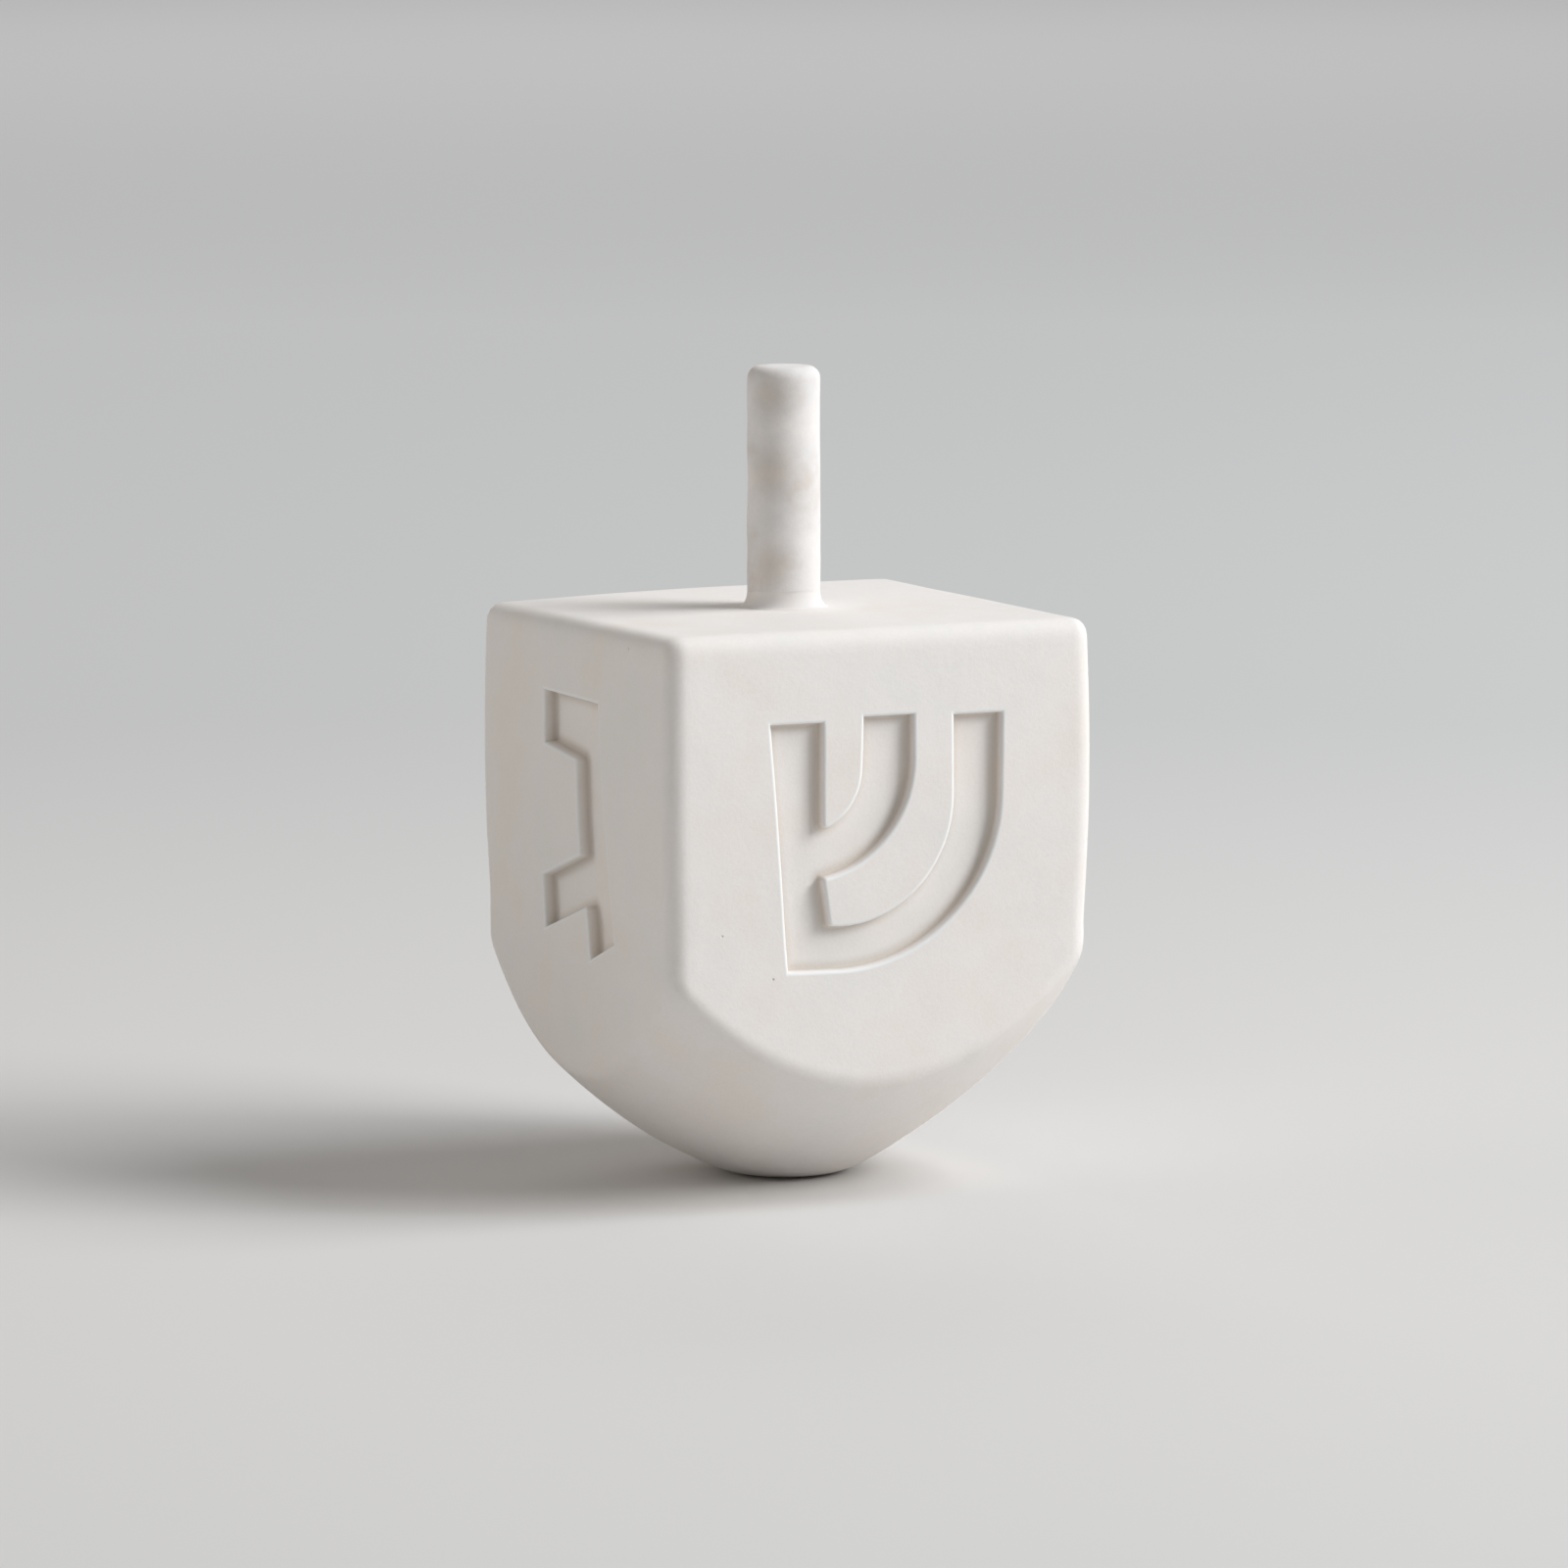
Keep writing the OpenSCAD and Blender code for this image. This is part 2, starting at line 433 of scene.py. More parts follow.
def dome_circle():
    """Centre and radius of the arc that makes the dome, in the plane of radius and height."""
    start = np.array([
        FOOT_R + FOOT_EDGE_R * math.sin(DOME_SLOPE),
        FOOT_EDGE_R * (1 - math.cos(DOME_SLOPE)),
    ])
    inward = np.array([-math.sin(DOME_SLOPE), math.cos(DOME_SLOPE)])
    chord = np.array([HALF_W * math.sqrt(2), CORNER_H]) - start
    radius = chord @ chord / (2 * chord @ inward)
    return start + radius * inward, radius, start[0]


DOME_CENTRE, DOME_R, DOME_START_R = dome_circle()


def dome_height(r, inset=0):
    """Height of the dome's surface at a distance from the axis, or of one that lies inset within it."""
    return DOME_CENTRE[1] - np.sqrt((DOME_R - inset) ** 2 - (r - DOME_CENTRE[0]) ** 2)


def dome_reach(p, shape):
    """Distance of points from the dome's own axis, which runs off centre above the foot."""
    shift = shape.dome_shift * np.clip((p[:, 2] - SHIFT_FROM) / SHIFT_OVER, 0, 1)
    return np.hypot(p[:, 0] - shift * DOME_SIDE[0], p[:, 1] - shift * DOME_SIDE[1])


def body_gap(p, shape):
    """Gap to the outer skin of the body."""
    from_widest = np.clip((p[:, 2] - WIDEST_AT) / WIDEST_REACH, -BARREL_LIMIT, BARREL_LIMIT)
    wall = square_gap(p[:, 0], p[:, 1], HALF_W - shape.barrel * from_widest ** 2, shape.side_edge)
    sideways = (p[:, 0] * DOME_SIDE[0] + p[:, 1] * DOME_SIDE[1]) / SAG_REACH
    sag = shape.top_sag * np.clip(sideways - SAG_START_SHARE, 0, 1) ** SAG_POWER
    block = smooth_max(wall, p[:, 2] - BODY_H + sag, shape.top_edge)
    dome = np.hypot(dome_reach(p, shape) - DOME_CENTRE[0], p[:, 2] - DOME_CENTRE[1]) - DOME_R
    return smooth_max(block, dome, shape.dome_edge)


def slope_of(p, shape, step=0.01):
    """Direction in which the gap grows at each point."""
    slope = np.zeros_like(p)
    for axis in range(3):
        nudge = np.zeros(3)
        nudge[axis] = step
        slope[:, axis] = (body_gap(p + nudge, shape) - body_gap(p - nudge, shape)) / (2 * step)
    return slope


def settle(p, shape, rounds=5):
    """Moves points onto the skin."""
    for _ in range(rounds):
        slope = slope_of(p, shape)
        steep = np.maximum((slope * slope).sum(1), LEAST_STEEP)
        p = p - (body_gap(p, shape) / steep)[:, None] * slope
    return p


def walk_round(shape):
    """Points in plan round the body, side by side, and the columns where each side starts and ends."""
    flat = HALF_W - shape.side_edge
    inner = flat - BAND[2]
    count = int(round(2 * inner / SIDE_STEP))
    along = np.concatenate([[-flat], np.linspace(-inner, inner, count + 1), [flat]])
    turn = np.radians(np.linspace(-90, 0, CORNER_STEPS + 1))[1:-1]
    side = [(u, -HALF_W) for u in along]
    side += [(flat + shape.side_edge * math.cos(a), -flat + shape.side_edge * math.sin(a)) for a in turn]
    side = np.array(side)
    plan, spans = [], []
    for quarter in range(4):
        spans.append((len(side) * quarter + 1, len(side) * quarter + len(along) - 2))
        plan.append(turn_plan(side, quarter))
    return np.concatenate(plan), spans


def turn_plan(xy, quarter):
    """Points turned about the axis by quarter turns, from the front face towards the right one."""
    c, s = [(1, 0), (0, 1), (-1, 0), (0, -1)][quarter]
    return np.stack([xy[:, 0] * c - xy[:, 1] * s, xy[:, 0] * s + xy[:, 1] * c], 1)


def hollow_radius(direction):
    """Distance from the axis to the wall of the hollow in each direction, found by halving."""
    low, high = np.zeros(len(direction)), np.full(len(direction), 2 * HALF_W)
    for _ in range(HALVINGS):
        mid = (low + high) / 2
        gap = square_gap(mid * direction[:, 0], mid * direction[:, 1], HALF_W - WALL, HOLLOW_EDGE_R)
        low, high = np.where(gap < 0, mid, low), np.where(gap < 0, high, mid)
    return low


def body_rows(plan, shape):
    """Rows of points from the stem's bore over the top, down the sides, round the dome and back inside.
    Gives the rows, how many of them are outside, how many of those are moved onto the skin, and which two
    bound the flat panels."""
    reach = np.hypot(plan[:, 0], plan[:, 1])
    direction = plan / reach[:, None]
    rows = []

    def over_dome(r):
        at = np.column_stack([direction * np.reshape(r, (-1, 1)), np.full_like(reach, BODY_H)])
        return dome_height(dome_reach(at, shape))

    def ring(r, z):
        rows.append(np.column_stack([direction * np.reshape(r, (-1, 1)), np.broadcast_to(z, reach.shape)]))

    arc_z = over_dome(reach)
    bore = TENON_R + SLIP_T
    for share in np.linspace(0, 1, TOP_ROWS, endpoint=False):
        ring(bore + (reach * (1 - BAND[-1] / HALF_W) - bore) * share, BODY_H)
    for d in BAND[:0:-1]:
        ring(reach * (1 - d / HALF_W), BODY_H)
    for d in BAND:
        ring(reach, BODY_H - d)
    panel_top = len(rows) - 1
    for share in np.linspace(0, 1, WALL_ROWS + 1)[1:-1]:
        ring(reach, (BODY_H - BAND[-1]) * (1 - share) + (arc_z + BAND[-1]) * share)
    panel_low = len(rows)
    for d in BAND[::-1]:
        ring(reach, arc_z + d)
    for d in BAND[1:]:
        ring(reach - d, over_dome(reach - d))
    for share in np.linspace(0, 1, DOME_ROWS + 1)[1:]:
        r = (reach - BAND[-1]) * (1 - share) + DOME_START_R * share
        ring(r, dome_height(r))
    settled = len(rows) - 1
    for a in np.linspace(DOME_SLOPE, 0, FOOT_EDGE_ROWS + 1)[1:]:
        ring(np.full_like(reach, FOOT_R + FOOT_EDGE_R * math.sin(a)), FOOT_EDGE_R * (1 - math.cos(a)))
    for r in (FOOT_R * FOOT_RING_SHARE, PLUG_HOLE_R):
        ring(np.full_like(reach, r), 0)
    outer = len(rows)
    ring(np.full_like(reach, PLUG_HOLE_R - PLUG_TAPER), FOOT_WALL)
    inside = hollow_radius(direction)
    floor_r = DOME_CENTRE[0] + math.sqrt((DOME_R - WALL) ** 2 - (DOME_CENTRE[1] - FOOT_WALL) ** 2)
    for share in np.linspace(0, 1, HOLLOW_ROWS + 1):
        r = floor_r * (1 - share) + inside * share
        ring(r, dome_height(r, WALL))
    for r in (inside, inside / 2, np.full_like(reach, bore)):
        ring(r, HOLLOW_TOP)
    return rows, outer, settled, (panel_top, panel_low)


def offset_loop(loop, distance):
    """The closed outline moved outward by a distance, with its corners kept sharp."""
    edge = np.roll(loop, -1, 0) - loop
    edge /= np.linalg.norm(edge, axis=1)[:, None]
    after = np.column_stack([edge[:, 1], -edge[:, 0]])
    before = np.roll(after, 1, 0)
    share = 1 + (before * after).sum(1)
    return loop + distance * (before + after) / share[:, None]


def mark_loop(shares):
    """A mark's outline in millimetres, anticlockwise, with the corners of its islands slightly rounded."""
    loop = np.array([(x * MARK_W, MARK_LOW + y * MARK_H) for x, y in shares])
    x, y = loop[:, 0], loop[:, 1]
    if (x * np.roll(y, -1) - np.roll(x, -1) * y).sum() < 0:
        loop = loop[::-1]
    rounded = []
    for before, here, after in zip(np.roll(loop, 1, 0), loop, np.roll(loop, -1, 0)):
        back, on = before - here, after - here
        back, on = back / math.hypot(*back), on / math.hypot(*on)
        bend = math.pi - math.acos(np.clip(back @ on, -1, 1))
        if back[0] * on[1] - back[1] * on[0] <= 0 or bend < SLIGHT_BEND:
            rounded.append(here)
            continue
        reach = ISLAND_R * math.tan(bend / 2)
        centre = here + (back + on) / math.hypot(*(back + on)) * math.hypot(reach, ISLAND_R)
        first, last = here + back * reach - centre, here + on * reach - centre
        for t in np.linspace(0, 1, ISLAND_STEPS + 1):
            spoke = first * math.sin((1 - t) * bend) + last * math.sin(t * bend)
            rounded.append(centre + spoke / math.sin(bend))
    return np.array(rounded)


def fill_edges(loop, longest=1.2, support=0.04):
    """For each edge of an outline, the shares at which it is cut. A long one is also cut near its ends."""
    cuts = []
    for a, b in zip(loop, np.roll(loop, -1, 0)):
        length = math.hypot(*(b - a))
        if length < 1.5 * longest:
            cuts.append([0])
        else:
            inner = np.linspace(0, 1, int(length / longest) + 1)[1:-1]
            cuts.append([0, support, *inner, 1 - support])
    return cuts


def cut_loop(loop, cuts, bow=0):
    """The outline with its edges cut at the same shares as every other outline of the mark. bow lifts
    each edge's inner points off its straight line, outward, so that filling leaves no slivers there."""
    along = np.roll(loop, -1, 0) - loop
    outward = np.column_stack([along[:, 1], -along[:, 0]]) / np.linalg.norm(along, axis=1)[:, None]
    return np.array([
        a + edge * share + 4 * bow * share * (1 - share) * out
        for a, edge, out, shares in zip(loop, along, outward, cuts)
        for share in shares
    ])


def mark_profile(shape):
    """(offset, depth, painted light) from outside a mark's rim, down its leaning wall and onto its floor.
    The painted light is -1 on the rim, for a painted highlight, grows to 1 at the foot of the wall, for
    painted shade, and fades out over the floor."""
    rim, fillet, lean = shape.mark_rim, shape.mark_fillet, shape.mark_draft
    profile = [(rim + RIM_MARGIN, 0), (rim, 0)]
    turn = np.linspace(0, math.pi / 2 - lean, RIM_STEPS + 1)[1:]
    profile += [(rim * (1 - math.sin(a)), rim * (1 - math.cos(a))) for a in turn]
    head_x, head = profile[-1]
    foot = shape.mark_depth - fillet * (1 - math.sin(lean))
    foot_x = head_x - (foot - head) * math.tan(lean)
    profile += [((head_x + foot_x) / 2, (head + foot) / 2), (foot_x, foot)]
    for a in np.linspace(lean, math.pi / 2, FILLET_STEPS + 1)[1:]:
        profile.append((
            foot_x - fillet * (math.cos(lean) - math.cos(a)),
            foot + fillet * (math.sin(a) - math.sin(lean)),
        ))
    edge = profile[-1][0]
    profile += [(edge - step, shape.mark_depth) for step in FLOOR_RINGS]
    painted_profile = []
    # Painted shade grows down each wall to its foot and fades out over the floor
    for offset, depth in profile:
        past = foot_x - offset
        painted_light = depth / foot if past < TINY else max(1 - past / PAINTED_SHADE_REACH, 0)
        painted_profile.append((offset, depth, painted_light))
    # The rim's points take the painted highlight
    painted_profile[RIM_HIGHLIGHT_POINTS] = [(offset, depth, -1) for offset, depth, _ in painted_profile[RIM_HIGHLIGHT_POINTS]]
    return painted_profile


def inside_loop(points, loop):
    """Which points lie inside a closed outline."""
    found = np.zeros(len(points), bool)
    for (x0, y0), (x1, y1) in zip(loop, np.roll(loop, -1, 0)):
        crosses = (y0 > points[:, 1]) != (y1 > points[:, 1])
        if y0 != y1:
            at = x0 + (points[:, 1] - y0) / (y1 - y0) * (x1 - x0)
            found ^= crosses & (points[:, 0] < at)
    return found


def near_loop(points, loop, distance):
    """Which points lie within a distance of a closed outline."""
    near = np.zeros(len(points), bool)
    for a, b in zip(loop, np.roll(loop, -1, 0)):
        along = b - a
        share = np.clip((points - a) @ along / (along @ along), 0, 1)
        near |= np.linalg.norm(points - a - share[:, None] * along, axis=1) < distance
    return near


def triangles(points, loops, keep):
    """Triangles over flat points that follow the closed loops of point numbers, where keep says so."""
    edges = [(a, b) for loop in loops for a, b in zip(loop, np.roll(loop, -1))]
    edges = [(int(a), int(b)) for a, b in edges]
    flat = [Vector(p) for p in points]
    _, _, faces, sources, _, _ = delaunay_2d_cdt(flat, edges, [], 0, MERGE_DISTANCE)
    faces = np.array([[sources[v][0] for v in face] for face in faces])
    middle = points[faces].mean(1)
    return faces[keep(middle)]


class Skin:
    """Collects the points and faces of the body as its parts are made."""

    def __init__(self):
        self.points, self.faces, self.count = [], [], 0
        self.sides, self.depths, self.painted_lights = [], [], []

    def add(self, points, side=-1, depth=0, painted_light=0):
        """Adds points and gives their numbers. side and depth place the points of a mark, and the last
        value, of painted light, is -1 on its rim for a painted highlight, 1 at the foot of its walls for
        painted shade and 0 away from both."""
        self.points.append(points)
        self.sides.append(np.full(len(points), side))
        self.depths.append(np.full(len(points), float(depth)))
        self.painted_lights.append(np.full(len(points), float(painted_light)))
        self.count += len(points)
        return np.arange(self.count - len(points), self.count)


def on_side(flat, side):
    """Points of a face, across and up, as points in space."""
    xy = turn_plan(np.column_stack([flat[:, 0], np.full(len(flat), -HALF_W)]), side)
    return np.column_stack([xy, flat[:, 1]])


def mark_side(skin, side, outlines, profile, border, border_ids, spots, spot_ids):
    """Fills one flat panel: its triangles, and the rims, walls and floors of its marks.
    border is the panel's edge and spots its inner points, both across and up."""
    flat, ids, loops = [border, spots], [border_ids, spot_ids], [np.arange(len(border))]
    rims = []
    clear = np.ones(len(spots), bool)
    for shares in outlines:
        base = mark_loop(shares)
        cuts = fill_edges(base)
        bows = [BOW, *[0] * (len(profile) - 2), -BOW]
        rings = [cut_loop(offset_loop(base, place[0]), cuts, bow) for place, bow in zip(profile, bows)]
        ring_ids = [
            skin.add(on_side(r, side), side, depth, painted_light) for r, (_, depth, painted_light) in zip(rings, profile)
        ]
        count = len(rings[0])
        for upper, lower in zip(ring_ids, ring_ids[1:]):
            for j in range(count):
                k = (j + 1) % count
                skin.faces.append((upper[j], upper[k], lower[k], lower[j]))
        loops.append(sum(map(len, flat)) + np.arange(count))
        flat.append(rings[0])
        ids.append(ring_ids[0])
        rims.append(rings[0])
        clear &= ~inside_loop(spots, rings[0]) & ~near_loop(spots, rings[0], SPOT_MARGIN)
        floor_spots = spots[inside_loop(spots, rings[-1]) & ~near_loop(spots, rings[-1], SPOT_MARGIN)]
        floor_ids = skin.add(on_side(floor_spots, side), side, profile[-1][1])
        floor = np.concatenate([rings[-1], floor_spots])
        floor_all = np.concatenate([ring_ids[-1], floor_ids])
        for face in triangles(floor, [np.arange(count)], lambda m, loop=rings[-1]: inside_loop(m, loop)):
            skin.faces.append(tuple(floor_all[face]))
    all_flat, all_ids = np.concatenate(flat), np.concatenate(ids)
    used = np.concatenate([np.ones(len(border), bool), clear, np.ones(sum(map(len, rims)), bool)])
    number = np.cumsum(used) - 1
    kept = triangles(
        all_flat[used],
        [number[loop] for loop in loops],
        lambda m: ~np.any([inside_loop(m, rim) for rim in rims], axis=0),
    )
    kept_ids = all_ids[used]
    skin.faces.extend(tuple(kept_ids[face]) for face in kept)


def body_mesh(shape):
    """The whole body: outer skin with its marks, and the hollow inside it. Gives its points, its faces and
    how much painted light each point takes: painted shade in the marks' corners, a painted highlight on
    their rims, and soiling with painted contact shade round the foot."""
    plan, spans = walk_round(shape)
    columns = len(plan)
    rows, outer, settled, (panel_top, panel_low) = body_rows(plan, shape)
    skin = Skin()
    ids = np.array([skin.add(row) for row in rows])
    profile = mark_profile(shape)
    in_panel = np.zeros(columns, bool)
    for side, (first, last) in enumerate(spans):
        in_panel[first:last] = True
        across = plan[first : last + 1]
        across = turn_plan(across, -side % 4)[:, 0]
        height = np.array([rows[i][first : last + 1, 2] for i in range(panel_top, panel_low + 1)])
        grid = np.stack([np.broadcast_to(across, height.shape), height], 2)
        grid_ids = ids[panel_top : panel_low + 1, first : last + 1]
        edge = np.zeros(height.shape, bool)
        edge[[0, -1], :] = edge[:, [0, -1]] = True
        way = [(0, slice(0, -1)), (slice(0, -1), -1), (-1, slice(-1, 0, -1)), (slice(-1, 0, -1), 0)]
        border = np.concatenate([grid[step] for step in way])
        border_ids = np.concatenate([grid_ids[step] for step in way])
        mark_side(skin, side, MARKS[side], profile, border, border_ids, grid[~edge], grid_ids[~edge])
    for i in range(len(rows)):
        below = (i + 1) % len(rows)
        for j in range(columns):
            if panel_top <= i < panel_low and in_panel[j]:
                continue
            k = (j + 1) % columns
            skin.faces.append((ids[i, j], ids[below, j], ids[below, k], ids[i, k]))
    points = np.concatenate(skin.points)
    sides, depths = np.concatenate(skin.sides), np.concatenate(skin.depths)
    # The top, the faces and the dome go onto the skin, and the edge of the stem's bore stays where it is
    moved = sides >= 0
    moved[ids[:settled].ravel()] = True
    moved[ids[0]] = False
    points[moved] = settle(points[moved], shape)
    # The skin is made uneven, but not by the stem's joint or on the foot
    rough = moved.copy()
    rough[ids[:outer].ravel()] = True
    slope = slope_of(points[rough], shape)
    swell = sum(share * wander(points[rough], size, seed) for share, size, seed in SWELLS) - 1
    from_joint = (np.hypot(points[rough][:, 0], points[rough][:, 1]) - BEAD_R) / JOINT_FADE
    push = shape.unevenness * swell * np.clip(from_joint, 0, 1)
    points[rough] += slope * push[:, None]
    # The marks are sunk straight in from their faces
    outward = np.array([(0, -1), (1, 0), (0, 1), (-1, 0)])
    marked = sides >= 0
    points[marked, :2] -= outward[sides[marked]] * depths[marked, None]
    # Points that no face uses are dropped
    used = np.unique(np.concatenate([np.array(f) for f in skin.faces]))
    number = np.full(skin.count, -1)
    number[used] = np.arange(len(used))
    faces = [tuple(int(number[v]) for v in f) for f in skin.faces]
    # The clay round the foot is soiled and painted darker as contact shade
    soiled_and_shaded = SOILED_AND_SHADED_SHARE * np.clip(1 - points[:, 2] / SOILED_AND_SHADED_H, 0, 1)
    return points[used], faces, np.where(marked, np.concatenate(skin.painted_lights), soiled_and_shaded)[used]


def stem_outline():
    """The stem's outline from its tenon up to a softly rounded end."""
    seat = BODY_H + SLIP_T
    flat_r, bend_from = STEM_R - STEM_EDGE_R, STEM_TOP - STEM_EDGE_R
    tenon = [(0, HOLLOW_TOP), (TENON_R, HOLLOW_TOP), (TENON_R, seat)]
    heights = seat + (bend_from - seat) * np.linspace(0, 1, SHAFT_ROWS, endpoint=False)
    shaft = [(STEM_R, z) for z in heights]
    bend = arc((flat_r, bend_from), (STEM_EDGE_R, STEM_EDGE_R), 0, 90, CORNER_STEPS)
    crown = [(flat_r - step, STEM_TOP) for step in CROWN_RINGS]
    return [*tenon, *shaft, *bend, *crown, (0, STEM_TOP)]


def bead_outline():
    """The slip round the tenon and under the stem, and the bead that shows."""
    film_top, bore = BODY_H + SLIP_T, TENON_R + SLIP_T
    radii = (BEAD_R - STEM_R, BEAD_TOP - BODY_H - BEAD_RIM)
    sleeve = [(TENON_R, HOLLOW_TOP), (bore, HOLLOW_TOP), (bore, BODY_H)]
    hollow_face = arc((BEAD_R, BEAD_TOP), radii, -90, -180, BEAD_STEPS)
    return [*sleeve, (BEAD_R, BODY_H), *hollow_face, (STEM_R, film_top), (TENON_R, film_top)]


def add_node(tree, kind, inputs=None, **settings):
    """Adds a node with its settings. An input takes a value, or the socket that it is linked to."""
    made = tree.nodes.new(kind)
    for name, value in settings.items():
        setattr(made, name, value)
    for name, value in (inputs or {}).items():
        if isinstance(value, bpy.types.NodeSocket):
            tree.links.new(value, made.inputs[name])
        else:
            made.inputs[name].default_value = value
    return made


def per_size(size):
    """Scale of a pattern whose marks are about this size, in millimetres."""
    return 1 / (size * MM)


def bisque(
    name, finish, clay, warm, cool, roughness=0.85, grain=1.0, cloud_size=9, pinholes=True, smudges_and_shade=()
):
    """Low-fired casting clay left bare. The firing leaves a dry, open skin of fine grains, so it is matt
    with no clear highlight, softly clouded where it was sponged, and pricked by a few pinholes from air in
    the slip. grain is how strongly its grains show, and cloud_size is in millimetres."""
    material = bpy.data.materials.new(name)
    material.use_nodes = True
    tree = material.node_tree
    tree.nodes.clear()
    place = add_node(tree, "ShaderNodeTexCoord").outputs["Object"]

    # Clouds of tone up to a centimetre wide, from uneven drying and sponging
    cloud = add_node(
        tree,
        "ShaderNodeTexNoise",
        {"Vector": place, "Scale": per_size(cloud_size), "Detail": 3.0, "Roughness": 0.6},
    ).outputs["Fac"]
    colour = (*clay, 1)
    for other, full_at in ((warm, 0.7), (cool, 0.3)):
        share = add_node(
            tree, "ShaderNodeMapRange", {"Value": cloud, "From Min": 0.5, "From Max": full_at}
        ).outputs["Result"]
        colour = add_node(
            tree, "ShaderNodeMix", {0: share, 6: colour, 7: (*other, 1)}, data_type="RGBA"
        ).outputs[2]

    # Grains of fired clay. They are drawn 0.3 mm wide, where the real ones are about 0.05 mm.
    grains = add_node(
        tree,
        "ShaderNodeTexNoise",
        {"Vector": place, "Scale": per_size(GRAIN_SIZE), "Detail": 2.0, "Roughness": 0.7},
    ).outputs["Fac"]
    spread = SPECKLE * grain
    speckle = add_node(
        tree,
        "ShaderNodeMapRange",
        {"Value": grains, "From Min": 0.25, "From Max": 0.75, "To Min": 1 - spread, "To Max": 1 + spread},
    ).outputs["Result"]
    colour = add_node(
        tree, "ShaderNodeVectorMath", {0: colour, "Scale": speckle}, operation="SCALE"
    ).outputs["Vector"]

    # Smudges left by fingers, which also paint shade into the stem's core shadow, each at a place in
    # millimetres and fading out over its own width
    for *middle, width in smudges_and_shade:
        away = add_node(
            tree,
            "ShaderNodeVectorMath",
            {0: place, 1: [value * MM for value in middle]},
            operation="DISTANCE",
        ).outputs["Value"]
        share = add_node(
            tree,
            "ShaderNodeMapRange",
            {"Value": away, "From Min": width * MM, "From Max": 0.0},
            interpolation_type="SMOOTHSTEP",
        ).outputs["Result"]
        colour = add_node(
            tree,
            "ShaderNodeMix",
            {0: share, 6: colour, 7: (*finish.smudged_and_shaded, 1)},
            data_type="RGBA",
            blend_type="MULTIPLY",
        ).outputs[2]

    # Painted shade: the marks' corners are painted a little darker and warmer, as shade falls there. The
    # clay round the foot takes the same tint, as soiling and painted contact shade.
    painted_light = add_node(tree, "ShaderNodeAttribute", attribute_name="painted_light").outputs["Fac"]
    corner = add_node(tree, "ShaderNodeMath", {0: painted_light, 1: 0.0}, operation="MAXIMUM").outputs["Value"]
    corner = add_node(
        tree, "ShaderNodeMath", {0: corner, 1: PAINTED_SHADE_POWER}, operation="POWER"
    ).outputs["Value"]
    colour = add_node(
        tree,
        "ShaderNodeMix",
        {0: corner, 6: colour, 7: (*finish.painted_shade, 1)},
        data_type="RGBA",
        blend_type="MULTIPLY",
    ).outputs[2]
    # Painted highlight: the marks' rims are painted whiter, as light catches their edges
    rim = add_node(tree, "ShaderNodeMath", {0: 0.0, 1: painted_light}, operation="SUBTRACT").outputs["Value"]
    rim = add_node(tree, "ShaderNodeMath", {0: rim, 1: 0.0}, operation="MAXIMUM").outputs["Value"]
    colour = add_node(
        tree, "ShaderNodeMix", {0: rim, 6: colour, 7: (*finish.rim_highlight, 1)}, data_type="RGBA"
    ).outputs[2]

    # Slow dips left by the sponge. The height is that of the surface in millimetres, for the bump.
    dips = add_node(
        tree,
        "ShaderNodeTexNoise",
        {"Vector": place, "Scale": per_size(DIP_SIZE), "Detail": 2.0, "Roughness": 0.5},
    ).outputs["Fac"]
    height = add_node(
        tree, "ShaderNodeMath", {0: grains, 1: GRAIN_HEIGHT * grain}, operation="MULTIPLY"
    ).outputs["Value"]
    height = add_node(
        tree, "ShaderNodeMath", {0: dips, 1: DIP_HEIGHT, 2: height}, operation="MULTIPLY_ADD"
    ).outputs["Value"]

    if pinholes:
        cell = add_node(
            tree, "ShaderNodeTexVoronoi", {"Vector": place, "Scale": per_size(PINHOLE_SPACING)}
        )
        chance = add_node(
            tree, "ShaderNodeSeparateColor", {"Color": cell.outputs["Color"]}
        ).outputs["Red"]
        # Half the cells have only the narrowest pinhole, which is too small to see. The pattern measures
        # distances as shares of the spacing.
        width = add_node(
            tree,
            "ShaderNodeMapRange",
            {
                "Value": chance,
                "From Min": 0.5,
                "From Max": 1.0,
                "To Min": PINHOLE_LEAST_R / PINHOLE_SPACING,
                "To Max": PINHOLE_MOST_R / PINHOLE_SPACING,
            },
        ).outputs["Result"]
        inside = add_node(
            tree,
            "ShaderNodeMapRange",
            {"Value": cell.outputs["Distance"], "From Min": width, "From Max": 0.0},
        ).outputs["Result"]
        # Painted shade inside each pinhole
        colour = add_node(
            tree, "ShaderNodeMix", {0: inside, 6: colour, 7: (*finish.pinhole_shade, 1)}, data_type="RGBA"
        ).outputs[2]
        height = add_node(
            tree, "ShaderNodeMath", {0: inside, 1: -PINHOLE_DEPTH, 2: height}, operation="MULTIPLY_ADD"
        ).outputs["Value"]

    bump = add_node(tree, "ShaderNodeBump", {"Height": height, "Distance": MM, "Strength": 1.0})
    shader = add_node(
        tree,
        "ShaderNodeBsdfPrincipled",
        {
            "Base Color": colour,
            "Normal": bump.outputs["Normal"],
            "Roughness": roughness,
            "IOR": 1.5,
            "Specular IOR Level": 0.15,
        },
    )
    add_node(tree, "ShaderNodeOutputMaterial", {"Surface": shader.outputs["BSDF"]})
    return material


def dress(obj, slot, material, *nodes):
    """Gives a piece its finish, lets it ride on the body, and lets it stand for the solids it replaces."""
    obj.data.materials.append(material)
    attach(obj, "root")
    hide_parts(*nodes)


